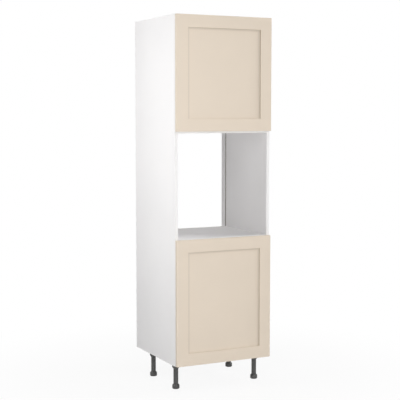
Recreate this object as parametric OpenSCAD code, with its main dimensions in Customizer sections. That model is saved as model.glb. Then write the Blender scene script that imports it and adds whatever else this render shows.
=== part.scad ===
/* [Cabinet] */
// Width of the unit over its side panels
unit_w = 600; // [500:10:900]
// Height of the cabinet above its legs
carcass_h = 1960; // [1900:10:2150]
// Depth of the cabinet behind its doors
carcass_d = 560; // [480:5:640]
// Thickness of the cabinet panels and shelves
panel_t = 18; // [17:0.5:22]
// Thickness of the back panels
back_t = 8; // [5:0.5:12]
// Space behind the back panels for pipes and cables
service_void = 50; // [35:5:80]
// Depth of the grooves that hold the back panels
groove_depth = 8; // [5:0.5:9]

/* [Oven opening] */
// Height of the oven shelf's top above the underside of the cabinet
oven_shelf_top = 717; // [640:1:820]
// Clear height of the oven opening
oven_opening_h = 590; // [450:5:640]

/* [Doors] */
// Thickness of the door frames
door_t = 20; // [18:0.5:24]
// Gap between a closed door and the cabinet
door_gap = 1.5; // [1.5:0.1:3]
// Distance that each door stays inside the sides of the cabinet
door_side_margin = 1.5; // [1:0.5:3]
// Distance from the ends of the cabinet to the doors
door_end_margin = 1; // [0.5:0.5:3]
// Depth of the lower door's top edge below the oven shelf's top
lower_door_drop = 3; // [0:0.5:8]
// Height of the upper door's bottom edge above the oven opening
upper_door_rise = 11; // [4:0.5:16]
// Width of the stiles and rails
frame_member_w = 70; // [60:1:100]
// Depth of the centre panel's face behind the frame's face
recess_depth = 8; // [4:0.5:9]
// Thickness of the centre panel and of the tongues on the rails
door_panel_t = 8; // [6:0.5:9]
// Depth of the groove along the inner edge of the frame
door_groove_depth = 10; // [6:1:14]

/* [Shelves] */
// Distance from the front of the cabinet to the adjustable shelves
shelf_setback = 24; // [15:1:60]
// Play between an adjustable shelf and each side panel
shelf_play = 1; // [0.6:0.1:2]
// Distance from the ends of an adjustable shelf to its rows of pins
pin_row_inset = 40; // [20:1:90]
// Pitch of the shelf pin holes
hole_pitch = 32; // [25:1:40]
// Number of shelf pin holes in each row
pin_levels = 5; // [3:2:7]
// Diameter of the shelf pins
pin_d = 5; // [4:0.5:6]

/* [Panel joints] */
// Diameter of the wooden dowels
dowel_d = 8; // [6:1:10]
// Length of the wooden dowels
dowel_len = 28; // [24:1:32]
// Diameter of the cam nuts
cam_d = 15; // [12:0.5:16]
// Distance from a panel's end to the axis of its cam nuts
cam_reach = 34; // [24:1:40]
// Distance from the front and rear of a panel to its cam nuts
cam_inset = 50; // [30:1:90]

/* [Legs] */
// Height of the legs with the feet at rest
leg_h = 150; // [140:5:180]
// Outer diameter of the leg tubes
leg_d = 28; // [26:0.5:32]
// Outer diameter of the feet
foot_d = 42; // [38:1:60]
// Distance from the side of the cabinet to the leg axes
leg_inset = 45; // [35:1:80]
// Distance from the front of the cabinet to the front leg axes
leg_front = 91; // [85:1:150]
// Distance from the rear of the cabinet to the rear leg axes
leg_rear = 151; // [100:1:200]
// Distance that a foot can be wound into its leg
foot_travel_in = 15; // [5:1:18]
// Distance that a foot can be wound out of its leg
foot_travel_out = 30; // [10:1:35]

/* [Hinges] */
// Diameter of the hinge cups
cup_d = 35; // [34:0.5:38]
// Depth of the hinge cups in the door
cup_depth = 12.5; // [12:0.1:13]
// Distance from the door's edge to the hinge cups
cup_edge = 5; // [4:0.5:5]
// Distance from a door's end to the axis of its hinge cup
hinge_end = 100; // [90:5:150]
// Distance from the front of the cabinet to the mounting plate screws
plate_setback = 37; // [35:1:42]
// Distance between the two screws of a mounting plate
plate_pitch = 32; // [28:1:40]
// Width of the hinge levers
lever_w = 10; // [8:0.5:11]
// Thickness of the hinge levers
lever_t = 2.4; // [1.6:0.1:2.4]
// Diameter of the hinge pins
hinge_pin_d = 2.5; // [2:0.1:3]

/* [Hidden] */
$fn = 48;

// Small step by which a cut passes through a face
cut = 0.1;
// Play of a back panel in its groove, on each side and at its edges
groove_play = 0.2;
edge_play = 0.5;
// Play of a fixed pin or screw in its hole, in radius
seat_play = 0.02;
// Play of a turning pin in its hole, in radius
turn_play = 0.05;

// Frame: X across, Y from the doors towards the wall, Z up from the floor
total_d = door_t + door_gap + carcass_d;
door_front_y = -total_d / 2;
door_back_y = door_front_y + door_t;
front_y = door_back_y + door_gap;
rear_y = front_y + carcass_d;
inner_x = unit_w / 2 - panel_t;

// Levels of the fixed panels
base_z = leg_h;
top_z = leg_h + carcass_h;
roof_z = top_z - panel_t;
oven_top_z = base_z + oven_shelf_top;
oven_shelf_z = oven_top_z - panel_t;
head_z = oven_top_z + oven_opening_h;

// Grooves for the back panels, and the panels that stop in front of them
groove_w = back_t + 2 * groove_play;
groove_y = rear_y - service_void - groove_w;
shelf_d = groove_y - front_y;

// Doors
door_w = unit_w - 2 * door_side_margin;
lower_door_z = [base_z + door_end_margin, oven_top_z - lower_door_drop];
upper_door_z = [head_z + upper_door_rise, top_z - door_end_margin];
frame_gap_w = door_w - 2 * frame_member_w;
buffer_d = 9;
buffer_dome_d = 5;
buffer_play = 0.1;
buffer_inset = 20;

// Adjustable shelves and their pins
shelf_rear_play = 2;
pin_depth = 9;
pin_hole_depth = 11;
pin_hole_play = 0.05;
collar_play = 0.2;
pin_chamfer = 0.6;
tab_len = 9;
tab_w = 10;
tab_h = 4;
pin_rows_y = [front_y + shelf_setback + pin_row_inset, groove_y - shelf_rear_play - pin_row_inset];
lower_pin_z = (base_z + panel_t + oven_shelf_z) / 2;
upper_pin_z = (head_z + panel_t + roof_z) / 2;

// Dowels, cam bolts and cam nuts
dowel_side_depth = 11;
dowel_chamfer = 1;
dowel_cam_gap = 32;
cam_depth = panel_t / 2 + 3.5;
bolt_head_d = 6;
bolt_neck_d = 4;
bolt_shaft_d = 6;
bolt_thread_d = 5;
bolt_thread_len = 10;
bolt_head_len = 3;
bolt_neck_len = 5;
bolt_bore_d = 7;
cam_slot_w = 6.6;
cam_play = 0.1;
cam_cross_w = 1.6;
cam_cross_len = 8;
cam_cross_depth = 2;
cam_rows_y = [front_y + cam_inset, front_y + shelf_d - cam_inset];
dowel_rows_y = [cam_rows_y[0] + dowel_cam_gap, cam_rows_y[1] - dowel_cam_gap];
joint_z = [base_z + panel_t / 2, oven_shelf_z + panel_t / 2, head_z + panel_t / 2, roof_z + panel_t / 2];
// Face of each fixed panel that its cam nuts are let into: -1 underside, 1 top
joint_face = [-1, -1, 1, 1];

// Hinges: every length is measured in the hinge's own frame, where U runs inwards from the side
// of the cabinet, V runs forwards from the cabinet's front edge, and Z is 0 at the hinge's middle
hinge_u0 = unit_w / 2;
cup_u = door_side_margin + cup_edge + cup_d / 2;
door_v = door_gap;
cup_wall = 1;
cup_fit = 0.1;
cup_corner = 3.5;
corner_steps = 4;
flange_t = 0.9;
flange_w = 14;
flange_rim = 2;
cup_screw_offset = 9.5;
cup_screw_pitch = 45;
cup_screw_d = 3.5;
cup_screw_head_d = 7;
cup_screw_len = 11;
screw_head_h = 1.9;
screw_head_round = 0.7;
screw_cross_depth = 1.1;
eye_d = 6;
cup_pin_u = door_side_margin + cup_edge + 5.5;
cup_pin_v = door_v + 5.5;
lug_w = 7;
lug_side_play = 0.5;
knee_u = cup_pin_u + 7.7;
knee_v = cup_pin_v + 4.3;
arm_pin_u = panel_t + 20;
arm_pin_v = -9;
arm_side_play = 0.3;
arm_wall = 1.5;
arm_nose_d = eye_d + 2 * (arm_side_play + arm_wall);
arm_top_u = arm_pin_u + arm_nose_d / 2;
arm_len = 66;
arm_rear_chamfer = 2;
plate_t = 2.5;
plate_wing_w = 14;
plate_front_rim = 10;
ridge_h = 9;
ridge_chamfer = 1;
ridge_play = 0.3;
arm_low_u = panel_t + plate_t + ridge_h + arm_wall;
arm_foot_u = panel_t + plate_t + 1;
plate_screw_d = 5;
plate_screw_head_d = 9;
plate_screw_len = 12;
arm_screw_d = 4;
arm_screw_head_d = 8;
arm_screws_v = [-30, -52];
arm_screw_len = 8;
lever_reach_w = lever_w + 2 * arm_side_play;
arm_w = lever_reach_w + 2 * arm_wall;

// Wall brackets in the upper corners of the service void
bracket_t = 2;
bracket_w = 30;
bracket_leg = 40;
bracket_drop = 60;
bracket_hole_d = 6;
bracket_screw_d = 4;
bracket_screw_head_d = 8;
bracket_screw_len = 14;

// Legs, from the floor up
foot_floor_t = 6;
foot_chamfer = 3;
foot_skirt_h = 20;
foot_shoulder = 4;
foot_clearance = 0.3;
tube_wall = 2;
tube_z = foot_floor_t + foot_travel_in + 1;
foot_h = tube_z + 4;
stem_d = 10;
stem_seat = 4;
insert_z = tube_z + 2;
insert_h = 14;
stem_top_z = insert_z + insert_h + foot_travel_out + 4;
socket_flange_t = 3;
socket_flange_d = leg_d + 24;
socket_cup_h = 21;
socket_cup_d = leg_d + 15;
socket_cone_h = 12;
socket_spigot_len = 12;
socket_peg_d = 10;
socket_peg_h = 12;
tube_top_z = leg_h - socket_flange_t - socket_cup_h - socket_cone_h;
leg_x = unit_w / 2 - leg_inset;
leg_front_y = front_y + leg_front;
leg_rear_y = rear_y - leg_rear;

white_board = "white";
raw_board = "tan";
door_paint = "bisque";
steel = "silver";
dark_plastic = "dimgray";

// ---------------------------------------------------------------- helpers

module block(low, high) {
  translate(low) cube(high - low);
}

module rod_x(x0, x1, y, z, d) {
  translate([min(x0, x1), y, z]) rotate([0, 90, 0]) cylinder(d = d, h = abs(x1 - x0));
}

module rod_y(y0, y1, x, z, d) {
  translate([x, max(y0, y1), z]) rotate([90, 0, 0]) cylinder(d = d, h = abs(y1 - y0));
}

module rod_z(z0, z1, x, y, d) {
  translate([x, y, z0]) cylinder(d = d, h = z1 - z0);
}

// Rod along X with chamfered ends
module peg_x(x0, x1, y, z, d, chamfer) {
  length = x1 - x0;
  translate([x0, y, z]) rotate([0, 90, 0]) rotate_extrude() polygon([
    [0, 0],
    [d / 2 - chamfer, 0],
    [d / 2, chamfer],
    [d / 2, length - chamfer],
    [d / 2 - chamfer, length],
    [0, length]
  ]);
}

// Plate between x0 and x1 whose outline is drawn in Y and Z
module slab_x(x0, x1) {
  translate([x0, 0, 0]) rotate([90, 0, 90]) linear_extrude(x1 - x0) children();
}

// Plate between y0 and y1 whose outline is drawn in X and Z
module slab_y(y0, y1) {
  translate([0, y1, 0]) rotate([90, 0, 0]) linear_extrude(y1 - y0) children();
}

// Flat bar between two points, with round ends
module bar(from, to, width) {
  length = norm(to - from);
  translate(from) rotate([0, 0, atan2(to[1] - from[1], to[0] - from[0])]) translate([0, -width / 2])
    square([length, width]);
  for (end = [from, to]) translate(end) circle(d = width);
}

// Screw head that stands on Z = 0, rounded towards its top and with a cross for the screwdriver
module screw_head(d) {
  cross_w = d / 8;
  difference() {
    union() {
      cylinder(d = d, h = screw_head_h - screw_head_round);
      translate([0, 0, screw_head_h - screw_head_round])
        cylinder(d1 = d, d2 = d - 3 * screw_head_round, h = screw_head_round);
    }
    for (angle = [0, 90]) rotate([0, 0, angle])
      block([-d / 4, -cross_w / 2, screw_head_h - screw_cross_depth],
            [d / 4, cross_w / 2, screw_head_h + cut]);
  }
}

module both_sides() {
  children();
  mirror([1, 0, 0]) children();
}

module at_legs() {
  for (x = [-leg_x, leg_x], y = [leg_front_y, leg_rear_y]) translate([x, y, 0]) children();
}

// Levels of the two hinges on a door that spans door_z
function hinge_levels(door_z) = [door_z[0] + hinge_end, door_z[1] - hinge_end];
all_hinge_levels = concat(hinge_levels(lower_door_z), hinge_levels(upper_door_z));

// Puts children drawn in U and V at each of the given hinge levels
module at_hinges(levels) {
  for (z = levels) translate([hinge_u0, front_y, z]) rotate([0, 0, 180]) children();
}

// ---------------------------------------------------------------- carcass

// Holes for the adjustable shelf's pins in one cupboard
module pin_holes(middle_z) {
  span = hole_pitch * (pin_levels - 1) / 2;
  for (y = pin_rows_y, z = [-span:hole_pitch:span])
    rod_x(inner_x - cut, inner_x + pin_hole_depth, y, middle_z + z, pin_d + 2 * pin_hole_play);
}

// Holes for the dowels and cam bolts of all fixed panels
module joint_holes_in_side() {
  for (z = joint_z) {
    for (y = dowel_rows_y)
      rod_x(inner_x - cut, inner_x + dowel_side_depth + edge_play, y, z, dowel_d + 2 * seat_play);
    for (y = cam_rows_y)
      rod_x(inner_x - cut, inner_x + bolt_thread_len + edge_play, y, z, bolt_thread_d + 2 * seat_play);
  }
}

// Right-hand side panel; the left-hand one is its mirror image without the hinge holes
module side_panel() {
  difference() {
    block([inner_x, front_y, base_z], [unit_w / 2, rear_y, top_z]);
    block([inner_x - cut, groove_y, base_z - cut],
          [inner_x + groove_depth, groove_y + groove_w, top_z + cut]);
    pin_holes(lower_pin_z);
    pin_holes(upper_pin_z);
    joint_holes_in_side();
    rod_x(inner_x - cut, inner_x + bracket_screw_len - bracket_t, bracket_screw_y, bracket_z,
          bracket_screw_d + 2 * seat_play);
  }
}

module side_panel_left() {
  color(white_board) mirror([1, 0, 0]) side_panel();
}

module side_panel_right() {
  color(white_board) difference() {
    side_panel();
    for (level = all_hinge_levels, z = [-plate_pitch / 2, plate_pitch / 2])
      rod_x(inner_x - cut, inner_x + plate_screw_len - plate_t, front_y + plate_setback, level + z,
            plate_screw_d + 2 * seat_play);
  }
}

// Fixed panel between the sides, with its dowel holes, bolt bores and cam nut holes
module fixed_panel(index, depth) {
  z = joint_z[index];
  face_z = z + joint_face[index] * panel_t / 2;
  cam_hole_z = joint_face[index] > 0 ? face_z - cam_depth - cam_play : face_z - cut;
  difference() {
    block([-inner_x, front_y, z - panel_t / 2], [inner_x, front_y + depth, z + panel_t / 2]);
    both_sides() {
      for (y = dowel_rows_y)
        rod_x(inner_x - dowel_len + dowel_side_depth - edge_play, inner_x + cut, y, z,
              dowel_d + 2 * seat_play);
      for (y = cam_rows_y) {
        rod_x(inner_x - cam_reach, inner_x + cut, y, z, bolt_bore_d);
        translate([inner_x - cam_reach, y, cam_hole_z])
          cylinder(d = cam_d + 2 * cam_play, h = cam_depth + cam_play + cut);
      }
    }
  }
}

module base_panel() {
  color(white_board) difference() {
    fixed_panel(0, carcass_d);
    block([-inner_x - cut, groove_y, base_z + panel_t - groove_depth],
          [inner_x + cut, groove_y + groove_w, base_z + panel_t + cut]);
    at_legs() rod_z(base_z - cut, base_z + socket_peg_h + edge_play, 0, 0, socket_peg_d + 2 * seat_play);
  }
}

module oven_shelf() {
  color(white_board) fixed_panel(1, shelf_d);
}

module upper_fixed_shelf() {
  color(white_board) fixed_panel(2, shelf_d);
}

module top_panel() {
  color(white_board) difference() {
    fixed_panel(3, carcass_d);
    block([-inner_x - cut, groove_y, roof_z - cut],
          [inner_x + cut, groove_y + groove_w, roof_z + groove_depth]);
  }
}

// Back panel held in the grooves of both sides, from low_z to high_z
module back_panel(low_z, high_z) {
  half_w = inner_x + groove_depth - edge_play;
  block([-half_w, groove_y + groove_play, low_z], [half_w, groove_y + groove_play + back_t, high_z]);
}

module back_panel_lower() {
  color(white_board) back_panel(base_z + panel_t - groove_depth + edge_play, oven_top_z - edge_play);
}

module back_panel_upper() {
  color(white_board) back_panel(head_z + edge_play, roof_z + groove_depth - edge_play);
}

module adjustable_shelf(z) {
  half_w = inner_x - shelf_play;
  block([-half_w, front_y + shelf_setback, z], [half_w, groove_y - shelf_rear_play, z + panel_t]);
}

module adjustable_shelf_lower() {
  color(white_board) adjustable_shelf(lower_pin_z);
}

module adjustable_shelf_upper() {
  color(white_board) adjustable_shelf(upper_pin_z);
}

// Pin with a collar against the side panel and a flat tab under the shelf
module shelf_pin() {
  collar_t = shelf_play - collar_play;
  peg_x(-collar_t, pin_depth, 0, 0, pin_d, pin_chamfer);
  rod_x(-collar_t, 0, 0, 0, pin_d + 3);
  block([-tab_len, -tab_w / 2, -tab_h], [-collar_t, tab_w / 2, 0]);
}

module shelf_pins() {
  color(steel) both_sides() for (y = pin_rows_y, z = [lower_pin_z, upper_pin_z])
    translate([inner_x, y, z]) shelf_pin();
}

module wood_dowels() {
  color(raw_board) both_sides() for (y = dowel_rows_y, z = joint_z)
    peg_x(inner_x + dowel_side_depth - dowel_len, inner_x + dowel_side_depth, y, z, dowel_d, dowel_chamfer);
}

// Steel bolt whose thread is in the side panel and whose head is held by the cam nut
module cam_bolt() {
  head_x = -cam_reach - bolt_head_len / 2;
  rod_x(0, bolt_thread_len, 0, 0, bolt_thread_d);
  rod_x(head_x + bolt_head_len + bolt_neck_len, 0, 0, 0, bolt_shaft_d);
  rod_x(head_x + bolt_head_len, head_x + bolt_head_len + bolt_neck_len, 0, 0, bolt_neck_d);
  rod_x(head_x, head_x + bolt_head_len, 0, 0, bolt_head_d);
}

module cam_bolts() {
  color(steel) both_sides() for (y = cam_rows_y, z = joint_z) translate([inner_x, y, z]) cam_bolt();
}

// Cam nut with its mouth towards the bolt and a cross for the screwdriver; its open face is up
module cam_nut() {
  difference() {
    translate([0, 0, -cam_depth]) cylinder(d = cam_d, h = cam_depth);
    block([-bolt_head_len, -cam_slot_w / 2, -panel_t / 2 - cam_slot_w / 2],
          [cam_d, cam_slot_w / 2, -panel_t / 2 + cam_slot_w / 2]);
    for (angle = [0, 90]) rotate([0, 0, angle])
      block([-cam_cross_len / 2, -cam_cross_w / 2, -cam_cross_depth],
            [cam_cross_len / 2, cam_cross_w / 2, cut]);
  }
}

module cam_nuts() {
  color(steel) both_sides() for (index = [0:3], y = cam_rows_y)
    translate([inner_x - cam_reach, y, joint_z[index] + joint_face[index] * panel_t / 2])
      mirror([0, 0, joint_face[index] > 0 ? 0 : 1]) cam_nut();
}

// ---------------------------------------------------------------- wall brackets

bracket_z = roof_z - bracket_drop;
bracket_screw_y = rear_y - bracket_t - bracket_leg / 2;
bracket_hole_x = inner_x - bracket_t - (bracket_leg - bracket_t) / 2;

// Right-hand angle with round ends: one leg on the side panel, one flush with the rear of the cabinet
module wall_bracket() {
  end_y = rear_y - bracket_leg + bracket_w / 2;
  end_x = inner_x - bracket_leg + bracket_w / 2;
  difference() {
    union() {
      slab_x(inner_x - bracket_t, inner_x) union() {
        translate([end_y, bracket_z - bracket_w / 2]) square([rear_y - end_y, bracket_w]);
        translate([end_y, bracket_z]) circle(d = bracket_w);
      }
      slab_y(rear_y - bracket_t, rear_y) union() {
        translate([end_x, bracket_z - bracket_w / 2]) square([inner_x - end_x, bracket_w]);
        translate([end_x, bracket_z]) circle(d = bracket_w);
      }
    }
    rod_y(rear_y - bracket_t - cut, rear_y + cut, bracket_hole_x, bracket_z, bracket_hole_d);
    rod_x(inner_x - bracket_t - cut, inner_x + cut, bracket_screw_y, bracket_z,
          bracket_screw_d + 2 * seat_play);
  }
}

module wall_brackets() {
  color(steel) both_sides() wall_bracket();
}

module bracket_screws() {
  color(steel) both_sides() {
    rod_x(inner_x - bracket_t, inner_x - bracket_t + bracket_screw_len, bracket_screw_y, bracket_z,
          bracket_screw_d);
    translate([inner_x - bracket_t, bracket_screw_y, bracket_z]) rotate([0, -90, 0])
      screw_head(bracket_screw_head_d);
  }
}

// ---------------------------------------------------------------- hinges

// Mounting plate: wings with two screw holes, and a ridge that the arm is clamped on
module hinge_plate() {
  ridge_w = lever_reach_w - 2 * ridge_play;
  ridge_u = panel_t + plate_t + ridge_h;
  difference() {
    union() {
      slab_x(panel_t, panel_t + plate_t) union() {
        bar([-plate_setback, -plate_pitch / 2], [-plate_setback, plate_pitch / 2], plate_wing_w);
        translate([-arm_len, -arm_w / 2]) square([arm_len + arm_screws_v[0] + plate_front_rim, arm_w]);
      }
      slab_y(-arm_len, arm_screws_v[0] + plate_front_rim / 2) polygon([
        [panel_t, -ridge_w / 2],
        [ridge_u - ridge_chamfer, -ridge_w / 2],
        [ridge_u, -ridge_w / 2 + ridge_chamfer],
        [ridge_u, ridge_w / 2 - ridge_chamfer],
        [ridge_u - ridge_chamfer, ridge_w / 2],
        [panel_t, ridge_w / 2]
      ]);
    }
    for (z = [-plate_pitch / 2, plate_pitch / 2])
      rod_x(panel_t - cut, panel_t + plate_t + cut, -plate_setback, z, plate_screw_d + 2 * seat_play);
    for (v = arm_screws_v)
      rod_x(arm_low_u - arm_screw_len, arm_low_u, v, 0, arm_screw_d + 2 * seat_play);
  }
}

module hinge_plates() {
  color(steel) at_hinges(all_hinge_levels) hinge_plate();
}

module plate_screws() {
  color(steel) at_hinges(all_hinge_levels) for (z = [-plate_pitch / 2, plate_pitch / 2]) {
    rod_x(panel_t + plate_t - plate_screw_len, panel_t + plate_t, -plate_setback, z, plate_screw_d);
    translate([panel_t + plate_t, -plate_setback, z]) rotate([0, 90, 0]) screw_head(plate_screw_head_d);
  }
}

// Side view of the arm: low over the plate, rising to a round nose about its pin
module arm_profile(top_drop) {
  polygon([
    [arm_foot_u, -arm_len],
    [arm_low_u - top_drop - arm_rear_chamfer, -arm_len],
    [arm_low_u - top_drop, -arm_len + arm_rear_chamfer],
    [arm_low_u - top_drop, arm_screws_v[0] + 4],
    [arm_top_u - top_drop, arm_pin_v - eye_d],
    [arm_top_u - top_drop, arm_pin_v],
    [arm_pin_u - arm_nose_d / 2, arm_pin_v],
    [arm_foot_u, arm_screws_v[0] + 6]
  ]);
  translate([arm_pin_u, arm_pin_v]) circle(d = arm_nose_d - 2 * top_drop);
}

// Pressed steel arm: a channel that is open towards the side panel and at its front end. Its rear
// screw sits in a slot that is open to the rear, so that the arm can be slid on its plate
module hinge_arm() {
  slot_w = arm_screw_d + 2 * seat_play;
  difference() {
    translate([0, 0, -arm_w / 2]) linear_extrude(arm_w) arm_profile(0);
    translate([0, 0, -lever_reach_w / 2]) linear_extrude(lever_reach_w) union() {
      arm_profile(arm_wall);
      translate([arm_foot_u - cut, -arm_len - cut])
        square([arm_low_u - arm_wall - arm_foot_u + cut, arm_len + arm_screws_v[0] + eye_d]);
      translate([arm_pin_u - arm_nose_d, arm_pin_v])
        square([arm_nose_d * 3 / 2 - arm_wall, arm_nose_d]);
      polygon([
        [arm_foot_u - cut, arm_screws_v[0]],
        [arm_low_u - arm_wall, arm_screws_v[0] + 4],
        [arm_top_u - arm_wall, arm_pin_v - eye_d],
        [arm_top_u - arm_wall, arm_pin_v + cut],
        [arm_pin_u - arm_nose_d, arm_pin_v + cut],
        [arm_foot_u - cut, arm_screws_v[0] + 7]
      ]);
    }
    rod_z(-arm_w / 2 - cut, arm_w / 2 + cut, arm_pin_u, arm_pin_v, hinge_pin_d + 2 * seat_play);
    for (v = arm_screws_v) rod_x(arm_low_u - arm_wall - cut, arm_low_u + cut, v, 0, slot_w);
    block([arm_low_u - arm_wall - arm_rear_chamfer, -arm_len - cut, -slot_w / 2],
          [arm_low_u + cut, arm_screws_v[1], slot_w / 2]);
  }
}

module hinge_arms() {
  color(steel) at_hinges(all_hinge_levels) hinge_arm();
}

module arm_pins() {
  color(steel) at_hinges(all_hinge_levels) rod_z(-arm_w / 2, arm_w / 2, arm_pin_u, arm_pin_v, hinge_pin_d);
}

module arm_screws() {
  color(steel) at_hinges(all_hinge_levels) for (v = arm_screws_v) {
    rod_x(arm_low_u - arm_screw_len, arm_low_u, v, 0, arm_screw_d);
    translate([arm_low_u, v, 0]) rotate([0, 90, 0]) screw_head(arm_screw_head_d);
  }
}

// Lever bent round the rim of the cup, with an eye on each pin
module hinge_lever() {
  cup_pin = [cup_pin_u, cup_pin_v];
  knee = [knee_u, knee_v];
  arm_pin = [arm_pin_u, arm_pin_v];
  translate([0, 0, -lever_w / 2]) linear_extrude(lever_w) difference() {
    union() {
      bar(cup_pin, knee, lever_t);
      bar(knee, arm_pin, lever_t);
      for (pin = [cup_pin, arm_pin]) translate(pin) circle(d = eye_d);
    }
    for (pin = [cup_pin, arm_pin]) translate(pin) circle(d = hinge_pin_d + 2 * turn_play);
  }
}

// Solid pan with its mouth at v0, its floor at v1 and a rounded edge at the floor
module pan(d, v0, v1, corner) {
  translate([cup_u, 0, 0]) rotate([-90, 0, 0]) rotate_extrude() polygon(concat(
    [[0, v0], [d / 2, v0]],
    [for (step = [0:corner_steps]) [d / 2 - corner * (1 - cos(90 * step / corner_steps)),
                                    v1 - corner * (1 - sin(90 * step / corner_steps))]],
    [[0, v1]]
  ));
}

// Outline of the cup's flange: a rim round the inner half of the mouth, and an ear for each screw
module flange_outline() {
  ear_u = cup_u + cup_screw_offset;
  difference() {
    union() {
      intersection() {
        translate([cup_u, 0]) circle(d = cup_d + 2 * flange_rim);
        translate([cup_u, -cup_d]) square([cup_d, 2 * cup_d]);
      }
      bar([ear_u, -cup_screw_pitch / 2], [ear_u, cup_screw_pitch / 2], flange_w);
    }
    translate([cup_u, 0]) circle(d = cup_d - 2 * cup_wall);
    for (z = [-cup_screw_pitch / 2, cup_screw_pitch / 2]) translate([ear_u, z])
      circle(d = cup_screw_d + 2 * seat_play);
  }
}

// Hinge cup: a pan let into the door with two lugs for the pin and a flange with two screw ears
module hinge_cup() {
  lug_in = lever_w / 2 + lug_side_play;
  floor_v = door_v + cup_depth;
  difference() {
    union() {
      difference() {
        pan(cup_d, door_v, floor_v, cup_corner);
        pan(cup_d - 2 * cup_wall, door_v - cut, floor_v - cup_wall, cup_corner - cup_wall);
      }
      intersection() {
        union() for (side = [-1, 1])
          block([cup_pin_u - lug_w / 2, cup_pin_v - eye_d / 2, side > 0 ? lug_in : -cup_d / 2],
                [cup_pin_u + lug_w / 2, floor_v - cup_wall / 2, side > 0 ? cup_d / 2 : -lug_in]);
        pan(cup_d - cup_wall, door_v, floor_v - cup_wall / 2, cup_corner - cup_wall / 2);
      }
      slab_y(door_v - flange_t, door_v) flange_outline();
    }
    rod_z(-cup_d, cup_d, cup_pin_u, cup_pin_v, hinge_pin_d + 2 * seat_play);
  }
}

module cup_pin() {
  reach = lever_w / 2 + lug_side_play + 4;
  rod_z(-reach, reach, cup_pin_u, cup_pin_v, hinge_pin_d);
}

module cup_screws(levels) {
  at_hinges(levels) for (z = [-cup_screw_pitch / 2, cup_screw_pitch / 2]) {
    rod_y(door_v - flange_t, door_v + cup_screw_len, cup_u + cup_screw_offset, z, cup_screw_d);
    translate([cup_u + cup_screw_offset, door_v - flange_t, z]) rotate([90, 0, 0])
      screw_head(cup_screw_head_d);
  }
}

module lower_hinge_cups() {
  color(steel) at_hinges(hinge_levels(lower_door_z)) hinge_cup();
}

module upper_hinge_cups() {
  color(steel) at_hinges(hinge_levels(upper_door_z)) hinge_cup();
}

module lower_cup_pins() {
  color(steel) at_hinges(hinge_levels(lower_door_z)) cup_pin();
}

module upper_cup_pins() {
  color(steel) at_hinges(hinge_levels(upper_door_z)) cup_pin();
}

module lower_cup_screws() {
  color(steel) cup_screws(hinge_levels(lower_door_z));
}

module upper_cup_screws() {
  color(steel) cup_screws(hinge_levels(upper_door_z));
}

module lower_hinge_levers() {
  color(steel) at_hinges(hinge_levels(lower_door_z)) hinge_lever();
}

module upper_hinge_levers() {
  color(steel) at_hinges(hinge_levels(upper_door_z)) hinge_lever();
}

// ---------------------------------------------------------------- doors

panel_front_y = door_front_y + recess_depth;
panel_back_y = panel_front_y + door_panel_t;

// Left-hand stile, grooved along its inner edge
module stile(door_z) {
  inner_edge = -door_w / 2 + frame_member_w;
  difference() {
    block([-door_w / 2, door_front_y, door_z[0]], [inner_edge, door_back_y, door_z[1]]);
    block([inner_edge - door_groove_depth, panel_front_y, door_z[0] - cut],
          [inner_edge + cut, panel_back_y, door_z[1] + cut]);
  }
}

// Right-hand stile, with the round recesses for the hinge cups and the holes for their screws
module hinge_stile(door_z) {
  difference() {
    mirror([1, 0, 0]) stile(door_z);
    at_hinges(hinge_levels(door_z)) {
      rod_y(door_v - cut, door_v + cup_depth + cup_fit, cup_u, 0, cup_d + 2 * cup_fit);
      for (z = [-cup_screw_pitch / 2, cup_screw_pitch / 2])
        rod_y(door_v - cut, door_v + cup_screw_len + edge_play, cup_u + cup_screw_offset, z,
              cup_screw_d + 2 * seat_play);
    }
  }
}

// Rail between the stiles from low_z to high_z, with a tongue at each end and a groove facing the panel
module rail(low_z, high_z, groove_low_z, groove_high_z) {
  half_w = frame_gap_w / 2;
  tongue = door_groove_depth - edge_play;
  difference() {
    union() {
      block([-half_w, door_front_y, low_z], [half_w, door_back_y, high_z]);
      block([-half_w - tongue, panel_front_y, low_z], [half_w + tongue, panel_back_y, high_z]);
    }
    block([-door_w, panel_front_y, groove_low_z], [door_w, panel_back_y, groove_high_z]);
  }
}

module rail_bottom(door_z) {
  inner_edge = door_z[0] + frame_member_w;
  rail(door_z[0], inner_edge, inner_edge - door_groove_depth, inner_edge + cut);
}

module rail_top(door_z) {
  inner_edge = door_z[1] - frame_member_w;
  rail(inner_edge, door_z[1], inner_edge - cut, inner_edge + door_groove_depth);
}

// Centre panel that floats in the grooves of the frame
module door_panel(door_z) {
  lap = door_groove_depth - 2 * edge_play;
  half_w = frame_gap_w / 2 + lap;
  block([-half_w, panel_front_y, door_z[0] + frame_member_w - lap],
        [half_w, panel_back_y, door_z[1] - frame_member_w + lap]);
}

// Soft buffers that the closed door rests on, over the front edge of the left side panel
module door_buffers(door_z) {
  for (z = [door_z[0] + buffer_inset, door_z[1] - buffer_inset])
    translate([-unit_w / 2 + panel_t / 2 + door_side_margin / 2, door_back_y, z]) rotate([-90, 0, 0])
      cylinder(d1 = buffer_d, d2 = buffer_dome_d, h = door_gap - buffer_play);
}

module lower_stile_left() {
  color(door_paint) stile(lower_door_z);
}

module lower_stile_right() {
  color(door_paint) hinge_stile(lower_door_z);
}

module lower_rail_top() {
  color(door_paint) rail_top(lower_door_z);
}

module lower_rail_bottom() {
  color(door_paint) rail_bottom(lower_door_z);
}

module lower_door_panel() {
  color(door_paint) door_panel(lower_door_z);
}

module lower_door_buffers() {
  color("gainsboro") door_buffers(lower_door_z);
}

module upper_stile_left() {
  color(door_paint) stile(upper_door_z);
}

module upper_stile_right() {
  color(door_paint) hinge_stile(upper_door_z);
}

module upper_rail_top() {
  color(door_paint) rail_top(upper_door_z);
}

module upper_rail_bottom() {
  color(door_paint) rail_bottom(upper_door_z);
}

module upper_door_panel() {
  color(door_paint) door_panel(upper_door_z);
}

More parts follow.
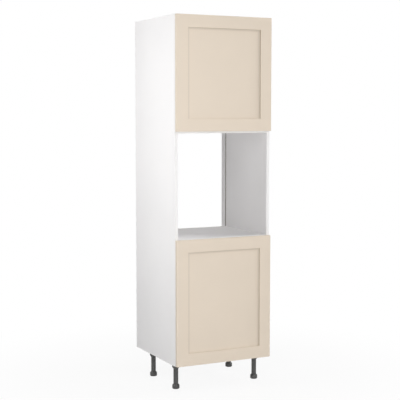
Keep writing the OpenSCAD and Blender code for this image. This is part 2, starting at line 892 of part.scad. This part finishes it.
module upper_door_buffers() {
  color("gainsboro") door_buffers(upper_door_z);
}

// ---------------------------------------------------------------- legs

// Socket: peg in the cabinet's floor, flange, deep cup, cone and spigot inside the tube
module leg_socket() {
  flange_z = leg_h - socket_flange_t;
  cup_z = flange_z - socket_cup_h;
  rod_z(leg_h, leg_h + socket_peg_h, 0, 0, socket_peg_d);
  rod_z(flange_z, leg_h, 0, 0, socket_flange_d);
  rod_z(cup_z, flange_z, 0, 0, socket_cup_d);
  translate([0, 0, tube_top_z]) cylinder(d1 = leg_d, d2 = socket_cup_d, h = socket_cone_h);
  rod_z(tube_top_z - socket_spigot_len, tube_top_z, 0, 0, leg_d - 2 * tube_wall - 2 * seat_play);
}

module leg_sockets() {
  color(dark_plastic) at_legs() leg_socket();
}

module leg_tubes() {
  color(dark_plastic) at_legs() difference() {
    rod_z(tube_z, tube_top_z, 0, 0, leg_d);
    rod_z(tube_z - cut, tube_top_z + cut, 0, 0, leg_d - 2 * tube_wall);
  }
}

// Threaded insert that the foot's stem turns in
module leg_inserts() {
  color(dark_plastic) at_legs() difference() {
    rod_z(insert_z, insert_z + insert_h, 0, 0, leg_d - 2 * tube_wall - 2 * seat_play);
    rod_z(insert_z - cut, insert_z + insert_h + cut, 0, 0, stem_d + 2 * turn_play);
  }
}

// Foot: a cup with a conical shoulder that slides over the end of the tube
module foot() {
  bore_r = leg_d / 2 + foot_clearance;
  rotate_extrude() polygon([
    [0, 0],
    [foot_d / 2 - foot_chamfer, 0],
    [foot_d / 2, foot_chamfer],
    [foot_d / 2, foot_skirt_h],
    [foot_d / 2 - foot_shoulder, foot_h],
    [bore_r, foot_h],
    [bore_r, foot_floor_t],
    [stem_d / 2 + seat_play, foot_floor_t],
    [stem_d / 2 + seat_play, foot_floor_t - stem_seat],
    [0, foot_floor_t - stem_seat]
  ]);
}

module stem() {
  rod_z(foot_floor_t - stem_seat, stem_top_z, 0, 0, stem_d);
}

module foot_front_left() {
  color(dark_plastic) translate([-leg_x, leg_front_y, 0]) foot();
}

module foot_front_right() {
  color(dark_plastic) translate([leg_x, leg_front_y, 0]) foot();
}

module foot_rear_left() {
  color(dark_plastic) translate([-leg_x, leg_rear_y, 0]) foot();
}

module foot_rear_right() {
  color(dark_plastic) translate([leg_x, leg_rear_y, 0]) foot();
}

module stem_front_left() {
  color(steel) translate([-leg_x, leg_front_y, 0]) stem();
}

module stem_front_right() {
  color(steel) translate([leg_x, leg_front_y, 0]) stem();
}

module stem_rear_left() {
  color(steel) translate([-leg_x, leg_rear_y, 0]) stem();
}

module stem_rear_right() {
  color(steel) translate([leg_x, leg_rear_y, 0]) stem();
}

side_panel_left();
side_panel_right();
top_panel();
base_panel();
oven_shelf();
upper_fixed_shelf();
back_panel_lower();
back_panel_upper();
adjustable_shelf_lower();
adjustable_shelf_upper();
shelf_pins();
wood_dowels();
cam_bolts();
cam_nuts();
hinge_plates();
plate_screws();
hinge_arms();
arm_pins();
arm_screws();
wall_brackets();
bracket_screws();
leg_sockets();
leg_tubes();
leg_inserts();
lower_stile_left();
lower_stile_right();
lower_rail_top();
lower_rail_bottom();
lower_door_panel();
lower_hinge_cups();
lower_cup_pins();
lower_cup_screws();
lower_door_buffers();
lower_hinge_levers();
upper_stile_left();
upper_stile_right();
upper_rail_top();
upper_rail_bottom();
upper_door_panel();
upper_hinge_cups();
upper_cup_pins();
upper_cup_screws();
upper_door_buffers();
upper_hinge_levers();
foot_front_left();
foot_front_right();
foot_rear_left();
foot_rear_right();
stem_front_left();
stem_front_right();
stem_rear_left();
stem_rear_right();
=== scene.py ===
import math

import bpy
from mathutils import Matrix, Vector


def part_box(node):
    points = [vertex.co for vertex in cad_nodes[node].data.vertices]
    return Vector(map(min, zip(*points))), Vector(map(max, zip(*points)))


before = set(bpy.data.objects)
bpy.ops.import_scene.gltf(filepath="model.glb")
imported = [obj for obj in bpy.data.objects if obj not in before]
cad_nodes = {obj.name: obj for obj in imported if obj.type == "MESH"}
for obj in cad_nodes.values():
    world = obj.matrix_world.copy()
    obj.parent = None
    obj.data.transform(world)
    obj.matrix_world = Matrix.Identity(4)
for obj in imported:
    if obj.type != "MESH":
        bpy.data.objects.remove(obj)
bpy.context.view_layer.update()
scene = bpy.context.scene


# ------------------------------------------------------------------ camera
# The view is from well to the left of the cabinet and from about eye height, so that the left
# side, both doors and the open niche between them are seen together.
camera_place = Vector((-2.6515, -5.3459, 1.5596))
camera_turn = math.radians(26.269)
camera_tilt = math.radians(4.797)
camera_level = math.radians(90.0)
camera_lens_mm = 91.27
camera_sensor_mm = 36.0
camera_reach = 60.0

camera_data = bpy.data.cameras.new("view_camera")
camera_data.sensor_width = camera_sensor_mm
camera_data.lens = camera_lens_mm
camera_data.clip_end = camera_reach
camera = bpy.data.objects.new("view_camera", camera_data)
camera.location = camera_place
camera.rotation_euler = (camera_level - camera_tilt, 0.0, -camera_turn)
scene.collection.objects.link(camera)
scene.camera = camera


# ------------------------------------------------------------------ carcass boards
# Side panels, top, base and shelves are chipboard faced with white melamine. The skin covers
# both faces, a thin tape covers the front edge, and everything sawn or drilled shows the core.
melamine_white = (0.900, 0.889, 0.888, 1.0)
melamine_roughness = 0.6
melamine_reflection = 0.12
melamine_skin_t = 0.0004
melamine_grain = 1100.0
melamine_clouds = 2.5
melamine_tone_low = 0.985
melamine_tone_high = 1.01
melamine_bump = 0.12
melamine_bump_depth = 0.0004
edging_tape_t = 0.0010
edging_joint_w = 0.00025
edging_joint_grey = (0.30, 0.29, 0.28, 1.0)
edging_joint_strength = 0.35
untaped_offset = 1.0
chip_light = (0.56, 0.42, 0.27, 1.0)
chip_dark = (0.25, 0.16, 0.09, 1.0)
chip_scale = 520.0
chip_gap_scale = 340.0
chip_share = 0.9
chip_gap_share = 0.7
chip_tone_low = 0.35
chip_tone_high = 0.95
chip_roughness = 0.9
# Painted shade inside grooves and holes: how deep a surface must lie, and how dark its core
# colour gets
cut_depth = 0.0004
hollow_painted_shade = 0.5
cloud_low = 0.3
cloud_high = 0.7


def add_node(tree, kind, inputs=None, **settings):
    node = tree.nodes.new(kind)
    for setting, value in settings.items():
        setattr(node, setting, value)
    for socket, value in (inputs or {}).items():
        if isinstance(value, bpy.types.NodeSocket):
            tree.links.new(value, node.inputs[socket])
        else:
            node.inputs[socket].default_value = value
    return node


def math_node(tree, operation, first, second=0.0):
    return add_node(tree, "ShaderNodeMath", {0: first, 1: second}, operation=operation).outputs[0]


def mix_node(tree, kind, factor, first, second):
    mixed = add_node(tree, "ShaderNodeMix", {0: factor, "A": first, "B": second}, data_type=kind)
    return mixed.outputs["Result"]


def shade_node(tree, colour, brightness):
    shaded = add_node(tree, "ShaderNodeHueSaturation", {"Color": colour, "Value": brightness})
    return shaded.outputs["Color"]


def new_group(name, inputs, outputs):
    group = bpy.data.node_groups.new(name, "ShaderNodeTree")
    for label, kind, value in inputs:
        socket = group.interface.new_socket(name=label, in_out="INPUT", socket_type=kind)
        if value is not None:
            socket.default_value = value
    for label, kind in outputs:
        group.interface.new_socket(name=label, in_out="OUTPUT", socket_type=kind)
    return group, group.nodes.new("NodeGroupInput"), group.nodes.new("NodeGroupOutput")


def use_group(tree, group, inputs):
    return add_node(tree, "ShaderNodeGroup", inputs, node_tree=group)


def new_material(name):
    material = bpy.data.materials.new(name)
    material.use_nodes = True
    tree = material.node_tree
    place = add_node(tree, "ShaderNodeTexCoord").outputs["Object"]
    return material, tree, tree.nodes["Principled BSDF"], place


# Fine unevenness of a finished surface: Height feeds a bump, Tone shifts a colour a little
grain_group, grain_in, grain_out = new_group(
    "surface_grain",
    [("Vector", "NodeSocketVector", None), ("Scale", "NodeSocketFloat", 900.0),
     ("Cloud Scale", "NodeSocketFloat", 6.0)],
    [("Height", "NodeSocketFloat"), ("Tone", "NodeSocketFloat")])
fine_grain = add_node(grain_group, "ShaderNodeTexNoise", {
    "Vector": grain_in.outputs["Vector"], "Scale": grain_in.outputs["Scale"],
    "Detail": 3.0, "Roughness": 0.6})
cloud_grain = add_node(grain_group, "ShaderNodeTexNoise", {
    "Vector": grain_in.outputs["Vector"], "Scale": grain_in.outputs["Cloud Scale"],
    "Detail": 4.0, "Roughness": 0.55})
grain_group.links.new(fine_grain.outputs["Fac"], grain_out.inputs["Height"])
grain_group.links.new(cloud_grain.outputs["Fac"], grain_out.inputs["Tone"])

# Sawn chipboard: pale and dark chips pressed together, with small voids between them
chips_group, chips_in, chips_out = new_group(
    "sawn_chipboard",
    [("Vector", "NodeSocketVector", None), ("Light", "NodeSocketColor", chip_light),
     ("Dark", "NodeSocketColor", chip_dark)],
    [("Color", "NodeSocketColor"), ("Height", "NodeSocketFloat")])
chip_cells = add_node(chips_group, "ShaderNodeTexVoronoi", {
    "Vector": chips_in.outputs["Vector"], "Scale": chip_scale, "Randomness": 1.0})
chip_gaps = add_node(chips_group, "ShaderNodeTexNoise", {
    "Vector": chips_in.outputs["Vector"], "Scale": chip_gap_scale, "Detail": 5.0})
chip_tone = math_node(
    chips_group, "ADD",
    math_node(chips_group, "MULTIPLY", chip_cells.outputs["Distance"], chip_share),
    math_node(chips_group, "MULTIPLY", chip_gaps.outputs["Fac"], chip_gap_share))
chip_ramp = add_node(chips_group, "ShaderNodeMapRange", {
    "Value": chip_tone, "From Min": chip_tone_low, "From Max": chip_tone_high})
chip_colour = mix_node(chips_group, "RGBA", chip_ramp.outputs["Result"],
                       chips_in.outputs["Light"], chips_in.outputs["Dark"])
chips_group.links.new(chip_colour, chips_out.inputs["Color"])
chips_group.links.new(chip_gaps.outputs["Fac"], chips_out.inputs["Height"])

# Skin is 1 on the two faces and the taped front edge, and 0 on every sawn or drilled surface
skin_group, skin_in, skin_out = new_group(
    "melamine_skin",
    [("Across", "NodeSocketFloat", 0.0), ("Face Low", "NodeSocketFloat", 0.0),
     ("Face High", "NodeSocketFloat", 0.0), ("Behind Front", "NodeSocketFloat", 0.0)],
    [("Skin", "NodeSocketFloat"), ("Tape Joint", "NodeSocketFloat")])
above_low = math_node(skin_group, "SUBTRACT",
                      skin_in.outputs["Across"], skin_in.outputs["Face Low"])
below_high = math_node(skin_group, "SUBTRACT",
                       skin_in.outputs["Face High"], skin_in.outputs["Across"])
any_face = math_node(skin_group, "MAXIMUM",
                     math_node(skin_group, "LESS_THAN", above_low, melamine_skin_t),
                     math_node(skin_group, "LESS_THAN", below_high, melamine_skin_t))
on_tape = math_node(skin_group, "LESS_THAN", skin_in.outputs["Behind Front"], edging_tape_t)
skin_group.links.new(math_node(skin_group, "MAXIMUM", any_face, on_tape), skin_out.inputs["Skin"])
joint_distance = math_node(skin_group, "ABSOLUTE", math_node(
    skin_group, "SUBTRACT", skin_in.outputs["Behind Front"], edging_tape_t))
skin_group.links.new(math_node(skin_group, "LESS_THAN", joint_distance, edging_joint_w),
                     skin_out.inputs["Tape Joint"])


def follow_grain(tree, grain, low, high):
    return add_node(tree, "ShaderNodeMapRange", {
        "Value": grain.outputs["Tone"], "From Min": cloud_low, "From Max": cloud_high,
        "To Min": low, "To Max": high}).outputs["Result"]


def add_bump(tree, shader, height, strength, depth):
    bump = add_node(tree, "ShaderNodeBump", {
        "Height": height, "Strength": strength, "Distance": depth})
    tree.links.new(bump.outputs["Normal"], shader.inputs["Normal"])


def board_material(name, axis, taped_front=True):
    low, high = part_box(name)
    material, tree, shader, place = new_material("melamine_" + name)
    shader.inputs["Specular IOR Level"].default_value = melamine_reflection
    xyz = add_node(tree, "ShaderNodeSeparateXYZ", {0: place})
    front = low.y if taped_front else low.y - untaped_offset
    skin = use_group(tree, skin_group, {
        "Across": xyz.outputs[axis], "Face Low": low[axis], "Face High": high[axis],
        "Behind Front": math_node(tree, "SUBTRACT", xyz.outputs["Y"], front)})
    grain = use_group(tree, grain_group, {
        "Vector": place, "Scale": melamine_grain, "Cloud Scale": melamine_clouds})
    chips = use_group(tree, chips_group, {"Vector": place})

    # Grooves and holes lie inside the board's outer faces; there the core colour is darkened as
    # painted shade
    inside = 1.0
    for i in range(3):
        for distance in (math_node(tree, "SUBTRACT", xyz.outputs[i], low[i]),
                         math_node(tree, "SUBTRACT", high[i], xyz.outputs[i])):
            inside = math_node(tree, "MULTIPLY", inside, math_node(
                tree, "GREATER_THAN", distance, cut_depth))
    hollow_shade_map = add_node(tree, "ShaderNodeMapRange", {
        "Value": inside, "To Min": 1.0, "To Max": hollow_painted_shade})
    # Painted shade: the sawn core is darkened wherever it lies inside the board's outer faces
    raw = shade_node(tree, chips.outputs["Color"], hollow_shade_map.outputs["Result"])

    white = shade_node(tree, melamine_white, follow_grain(
        tree, grain, melamine_tone_low, melamine_tone_high))
    joint = math_node(tree, "MULTIPLY", skin.outputs["Tape Joint"], edging_joint_strength)
    faced = mix_node(tree, "RGBA", joint, white, edging_joint_grey)
    colour = mix_node(tree, "RGBA", skin.outputs["Skin"], raw, faced)
    tree.links.new(colour, shader.inputs["Base Color"])
    roughness = add_node(tree, "ShaderNodeMapRange", {
        "Value": skin.outputs["Skin"], "To Min": chip_roughness, "To Max": melamine_roughness})
    tree.links.new(roughness.outputs["Result"], shader.inputs["Roughness"])
    height = mix_node(tree, "FLOAT", skin.outputs["Skin"],
                      chips.outputs["Height"], grain.outputs["Height"])
    add_bump(tree, shader, height, melamine_bump, melamine_bump_depth)
    return material


def dress(name, material):
    data = cad_nodes[name].data
    data.materials.clear()
    data.materials.append(material)


axis_x, axis_y, axis_z = 0, 1, 2
for name in ("side_panel_left", "side_panel_right"):
    dress(name, board_material(name, axis_x))
for name in ("top_panel", "base_panel", "oven_shelf", "upper_fixed_shelf",
             "adjustable_shelf_lower", "adjustable_shelf_upper"):
    dress(name, board_material(name, axis_z))
for name in ("back_panel_lower", "back_panel_upper"):
    dress(name, board_material(name, axis_y, taped_front=False))


# ------------------------------------------------------------------ doors
# Each door is a frame of two stiles and two rails round a recessed centre panel, painted with a
# smooth satin cream. The arrises are eased by a light sanding before the paint goes on.
door_cream = (0.745, 0.647, 0.535, 1.0)
door_roughness = 0.45
door_arris = 0.0004
arris_steps = 2
arris_angle = math.radians(50.0)
flat_angle = math.radians(0.5)
weld_reach = 1e-6
# Painted shade in the door recesses: the darkest tone, and how far it reaches onto the panel
painted_shade_tone = 0.82
painted_shade_reach = 0.016
face_margin = 0.0002
ledge_clear = 0.0003
paint_grain = 650.0
paint_clouds = 4.0
paint_tone_low = 0.985
paint_tone_high = 1.012
paint_gloss_spread = 0.04
paint_bump = 0.15
grain_depth = 0.0003


def soften(name, width):
    piece = cad_nodes[name]
    weld = piece.modifiers.new("join_faces", "WELD")
    weld.merge_threshold = weld_reach
    flat = piece.modifiers.new("merge_flat_faces", "DECIMATE")
    flat.decimate_type = "DISSOLVE"
    flat.angle_limit = flat_angle
    bevel = piece.modifiers.new("soft_arris", "BEVEL")
    bevel.width = width
    bevel.segments = arris_steps
    bevel.limit_method = "ANGLE"
    bevel.angle_limit = arris_angle
    bevel.harden_normals = True


# Painted shade round a recess: tone 1 on the frame's face and on the open panel, and darker on
# the frame's inner edges and on the panel beside them, where shade falls into the recess. The
# ledge along the bottom of the recess keeps the panel's tone.
recess_shade_group, recess_in, recess_out = new_group(
    "recess_painted_shade",
    [("Inside", "NodeSocketFloat", 0.0), ("Above Ledge", "NodeSocketFloat", 0.0)],
    [("Tone", "NodeSocketFloat")])
recess_fall = add_node(recess_shade_group, "ShaderNodeMapRange", {
    "Value": recess_in.outputs["Inside"], "From Min": 0.0, "From Max": painted_shade_reach,
    "To Min": 1.0 - painted_shade_tone, "To Max": 0.0}, interpolation_type="SMOOTHSTEP")
recess_side = math_node(
    recess_shade_group, "MULTIPLY",
    math_node(recess_shade_group, "GREATER_THAN", recess_in.outputs["Inside"], -face_margin),
    math_node(recess_shade_group, "GREATER_THAN", recess_in.outputs["Above Ledge"], ledge_clear))
recess_shade_loss = math_node(recess_shade_group, "MULTIPLY", recess_fall.outputs["Result"], recess_side)
recess_shade_group.links.new(math_node(recess_shade_group, "SUBTRACT", 1.0, recess_shade_loss),
                       recess_out.inputs["Tone"])


def paint_material(name, colour, roughness, recess=None):
    material, tree, shader, place = new_material(name)
    grain = use_group(tree, grain_group, {
        "Vector": place, "Scale": paint_grain, "Cloud Scale": paint_clouds})
    shade = shade_node(tree, colour, follow_grain(tree, grain, paint_tone_low, paint_tone_high))
    if recess:
        left, right, bottom, top = recess
        xyz = add_node(tree, "ShaderNodeSeparateXYZ", {0: place})
        across = math_node(tree, "MINIMUM", math_node(tree, "SUBTRACT", xyz.outputs["X"], left),
                           math_node(tree, "SUBTRACT", right, xyz.outputs["X"]))
        under_top = math_node(tree, "SUBTRACT", top, xyz.outputs["Z"])
        corner = use_group(tree, recess_shade_group, {
            "Inside": math_node(tree, "MINIMUM", across, under_top),
            "Above Ledge": math_node(tree, "SUBTRACT", xyz.outputs["Z"], bottom)})
        # Painted shade: the cream is darkened along the recess's inner edges and on the panel
        # beside them
        shade = shade_node(tree, shade, corner.outputs["Tone"])
    tree.links.new(shade, shader.inputs["Base Color"])
    gloss = follow_grain(tree, grain, roughness - paint_gloss_spread,
                         roughness + paint_gloss_spread)
    tree.links.new(gloss, shader.inputs["Roughness"])
    add_bump(tree, shader, grain.outputs["Height"], paint_bump, grain_depth)
    return material


frame_members = ("stile_left", "stile_right", "rail_top", "rail_bottom")
for door in ("lower", "upper"):
    recess = (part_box(f"{door}_stile_left")[1].x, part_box(f"{door}_stile_right")[0].x,
              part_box(f"{door}_rail_bottom")[1].z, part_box(f"{door}_rail_top")[0].z)
    cream_paint = paint_material(f"{door}_cream_satin_paint", door_cream, door_roughness, recess)
    for member in frame_members + ("door_panel",):
        dress(f"{door}_{member}", cream_paint)
    for member in frame_members:
        soften(f"{door}_{member}", door_arris)


# ------------------------------------------------------------------ hinges
# Concealed hinges of nickel-plated pressed steel: plate and arm on the side panel, cup in the
# door, a bent lever between them. The pins and screws are zinc-plated steel.
nickel_grey = (0.66, 0.64, 0.61, 1.0)
nickel_roughness = 0.24
zinc_grey = (0.62, 0.62, 0.62, 1.0)
zinc_roughness = 0.32
metal_clouds = 60.0
metal_duller = 0.07
metal_brighter = 0.05
metal_bump = 0.08


def metal_material(name, colour, roughness, grain_scale=420.0, mottle=0.06):
    material, tree, shader, place = new_material(name)
    shader.inputs["Metallic"].default_value = 1.0
    grain = use_group(tree, grain_group, {
        "Vector": place, "Scale": grain_scale, "Cloud Scale": metal_clouds})
    shade = shade_node(tree, colour, follow_grain(tree, grain, 1.0 - mottle, 1.0 + mottle))
    tree.links.new(shade, shader.inputs["Base Color"])
    gloss = follow_grain(tree, grain, roughness - metal_brighter, roughness + metal_duller)
    tree.links.new(gloss, shader.inputs["Roughness"])
    add_bump(tree, shader, grain.outputs["Height"], metal_bump, grain_depth)
    return material


nickel_plate = metal_material("nickel_plated_steel", nickel_grey, nickel_roughness)
zinc_plate = metal_material("zinc_plated_steel", zinc_grey, zinc_roughness)
for name in ("hinge_plates", "hinge_arms", "lower_hinge_cups", "upper_hinge_cups",
             "lower_hinge_levers", "upper_hinge_levers"):
    dress(name, nickel_plate)
for name in ("plate_screws", "arm_screws", "arm_pins", "lower_cup_pins", "upper_cup_pins",
             "lower_cup_screws", "upper_cup_screws"):
    dress(name, zinc_plate)


# ------------------------------------------------------------------ connectors and brackets
# Zinc-plated cam bolts, cast cam nuts and beech dowels hold the fixed panels between the sides.
# Nickel-plated pins carry the loose shelves, and two zinc-plated steel angles with their screws
# tie the top rear of the cabinet to the wall.
cast_grey = (0.46, 0.46, 0.46, 1.0)
cast_roughness = 0.5
cast_grain = 900.0
cast_mottle = 0.1
beech = (0.62, 0.43, 0.26, 1.0)
beech_roughness = 0.7
cast_zinc = metal_material("cast_zinc", cast_grey, cast_roughness,
                           grain_scale=cast_grain, mottle=cast_mottle)
dress("cam_nuts", cast_zinc)
dress("cam_bolts", zinc_plate)
dress("shelf_pins", nickel_plate)
dress("wall_brackets", zinc_plate)
dress("bracket_screws", zinc_plate)
dress("wood_dowels", paint_material("bare_beech", beech, beech_roughness))


# ------------------------------------------------------------------ door buffers
# Small pale domes of soft plastic, stuck to the back of each door near its free corners. They
# take up the knock when the door closes.
buffer_pale = (0.80, 0.80, 0.78, 1.0)
buffer_roughness = 0.3
buffer_plastic = paint_material("soft_clear_plastic", buffer_pale, buffer_roughness)
dress("lower_door_buffers", buffer_plastic)
dress("upper_door_buffers", buffer_plastic)


# ------------------------------------------------------------------ legs
# Adjustable legs of dark grey moulded plastic: a socket under the base, a tube with a threaded
# insert, and a foot that is wound up or down on its zinc-plated stem. The moulding is finely
# textured and a little glossy.
leg_grey = (0.062, 0.062, 0.060, 1.0)
leg_roughness = 0.42
leg_plastic = paint_material("dark_moulded_plastic", leg_grey, leg_roughness)
for name in ("leg_sockets", "leg_tubes", "leg_inserts"):
    dress(name, leg_plastic)
for corner in ("front_left", "front_right", "rear_left", "rear_right"):
    dress("foot_" + corner, leg_plastic)
    dress("stem_" + corner, zinc_plate)


# ------------------------------------------------------------------ floor and light
# A plain pale floor under soft studio light: broad lamps in front and high on the right, smaller
# ones close to the fronts and to the left side, one above, one behind, and weak pale air.
# Camera, glossy and transmission rays see the floor and the air as white.
floor_size = 40.0
floor_white = (0.80, 0.80, 0.80, 1.0)
floor_roughness = 0.8
shadow_near = 0.5
shadow_far = 1.8
white_near = 0.89
pure_white = (1.0, 1.0, 1.0, 1.0)
air_strength = 0.1


def area_lamp(name, place, target, size, watts):
    data = bpy.data.lights.new(name, "AREA")
    data.shape = "RECTANGLE"
    data.size, data.size_y = size
    data.energy = watts
    lamp = bpy.data.objects.new(name, data)
    lamp.location = place
    direction = Vector(target) - Vector(place)
    lamp.rotation_euler = direction.to_track_quat("-Z", "Y").to_euler()
    lamp.visible_camera = False
    scene.collection.objects.link(lamp)
    return lamp


def seen_rays(tree):
    path = add_node(tree, "ShaderNodeLightPath")
    reflected = math_node(tree, "MAXIMUM", path.outputs["Is Glossy Ray"],
                          path.outputs["Is Transmission Ray"])
    return math_node(tree, "MAXIMUM", path.outputs["Is Camera Ray"], reflected)


def mix_surface(tree, output, factor, first, second):
    mixed = add_node(tree, "ShaderNodeMixShader", {0: factor, 1: first, 2: second})
    tree.links.new(mixed.outputs["Shader"], tree.nodes[output].inputs["Surface"])


floor_data = bpy.data.meshes.new("floor")
half = floor_size / 2
floor_data.from_pydata([(-half, -half, 0), (half, -half, 0), (half, half, 0), (-half, half, 0)],
                       [], [(0, 1, 2, 3)])
floor = bpy.data.objects.new("floor", floor_data)
scene.collection.objects.link(floor)

floor_material, floor_tree, floor_shader, floor_place = new_material("pale_floor")
floor_shader.inputs["Base Color"].default_value = floor_white
floor_shader.inputs["Roughness"].default_value = floor_roughness
floor_seen = add_node(floor_tree, "ShaderNodeEmission", {"Color": pure_white, "Strength": 1.0})
floor_radius = add_node(floor_tree, "ShaderNodeVectorMath", {0: floor_place}, operation="LENGTH")
floor_whiteness = add_node(floor_tree, "ShaderNodeMapRange", {
    "Value": floor_radius.outputs["Value"], "From Min": shadow_near, "From Max": shadow_far,
    "To Min": white_near, "To Max": 1.0}, interpolation_type="SMOOTHSTEP")
floor_share = math_node(floor_tree, "MULTIPLY", seen_rays(floor_tree),
                        floor_whiteness.outputs["Result"])
mix_surface(floor_tree, "Material Output", floor_share,
            floor_shader.outputs["BSDF"], floor_seen.outputs["Emission"])
floor.data.materials.append(floor_material)

front_middle = (0.0, -0.29, 1.1)
front_upper = (-0.1, -0.29, 1.4)
side_upper = (-0.3, 0.0, 1.6)
side_front = (-0.3, -0.1, 1.3)
rear_middle = (0.0, 0.29, 1.1)
top_middle = (0.0, 0.0, 2.1)
area_lamp("right_lamp", (3.5, -1.2, 3.4), front_middle, size=(1.6, 1.6), watts=80.0)
area_lamp("high_front_lamp", (-1.84, -3.48, 3.68), front_middle, size=(3.0, 3.0), watts=19.0)
area_lamp("front_lamp", (0.3, -5.0, 1.3), front_middle, size=(2.0, 2.0), watts=60.0)
area_lamp("left_front_lamp", (-3.6, -3.8, 1.1), front_middle, size=(1.6, 1.6), watts=14.0)
area_lamp("near_upper_lamp", (-0.9, -2.0, 2.4), front_upper, size=(0.8, 0.8), watts=6.0)
area_lamp("near_left_lamp", (-1.2, -2.0, 1.1), front_middle, size=(0.6, 1.6), watts=7.5)
area_lamp("upper_side_lamp", (-1.6, 0.0, 2.2), side_upper, size=(0.5, 1.0), watts=7.5)
area_lamp("lower_side_lamp", (-1.6, -0.1, 1.3), side_front, size=(0.3, 1.4), watts=8.0)
area_lamp("top_lamp", (0.2, 0.9, 5.0), top_middle, size=(3.0, 2.0), watts=26.0)
rear_lamp = area_lamp("rear_lamp", (1.3, 4.0, 1.0), rear_middle, size=(1.4, 0.6), watts=85.0)
rear_lamp.visible_glossy = False

world = bpy.data.worlds.new("pale_air")
scene.world = world
world.use_nodes = True
world_tree = world.node_tree
air = world_tree.nodes["Background"]
air.inputs["Color"].default_value = pure_white
air.inputs["Strength"].default_value = air_strength
seen_air = add_node(world_tree, "ShaderNodeBackground", {"Color": pure_white, "Strength": 1.0})
mix_surface(world_tree, "World Output", seen_rays(world_tree),
            air.outputs["Background"], seen_air.outputs["Background"])

scene.view_settings.view_transform = "Standard"
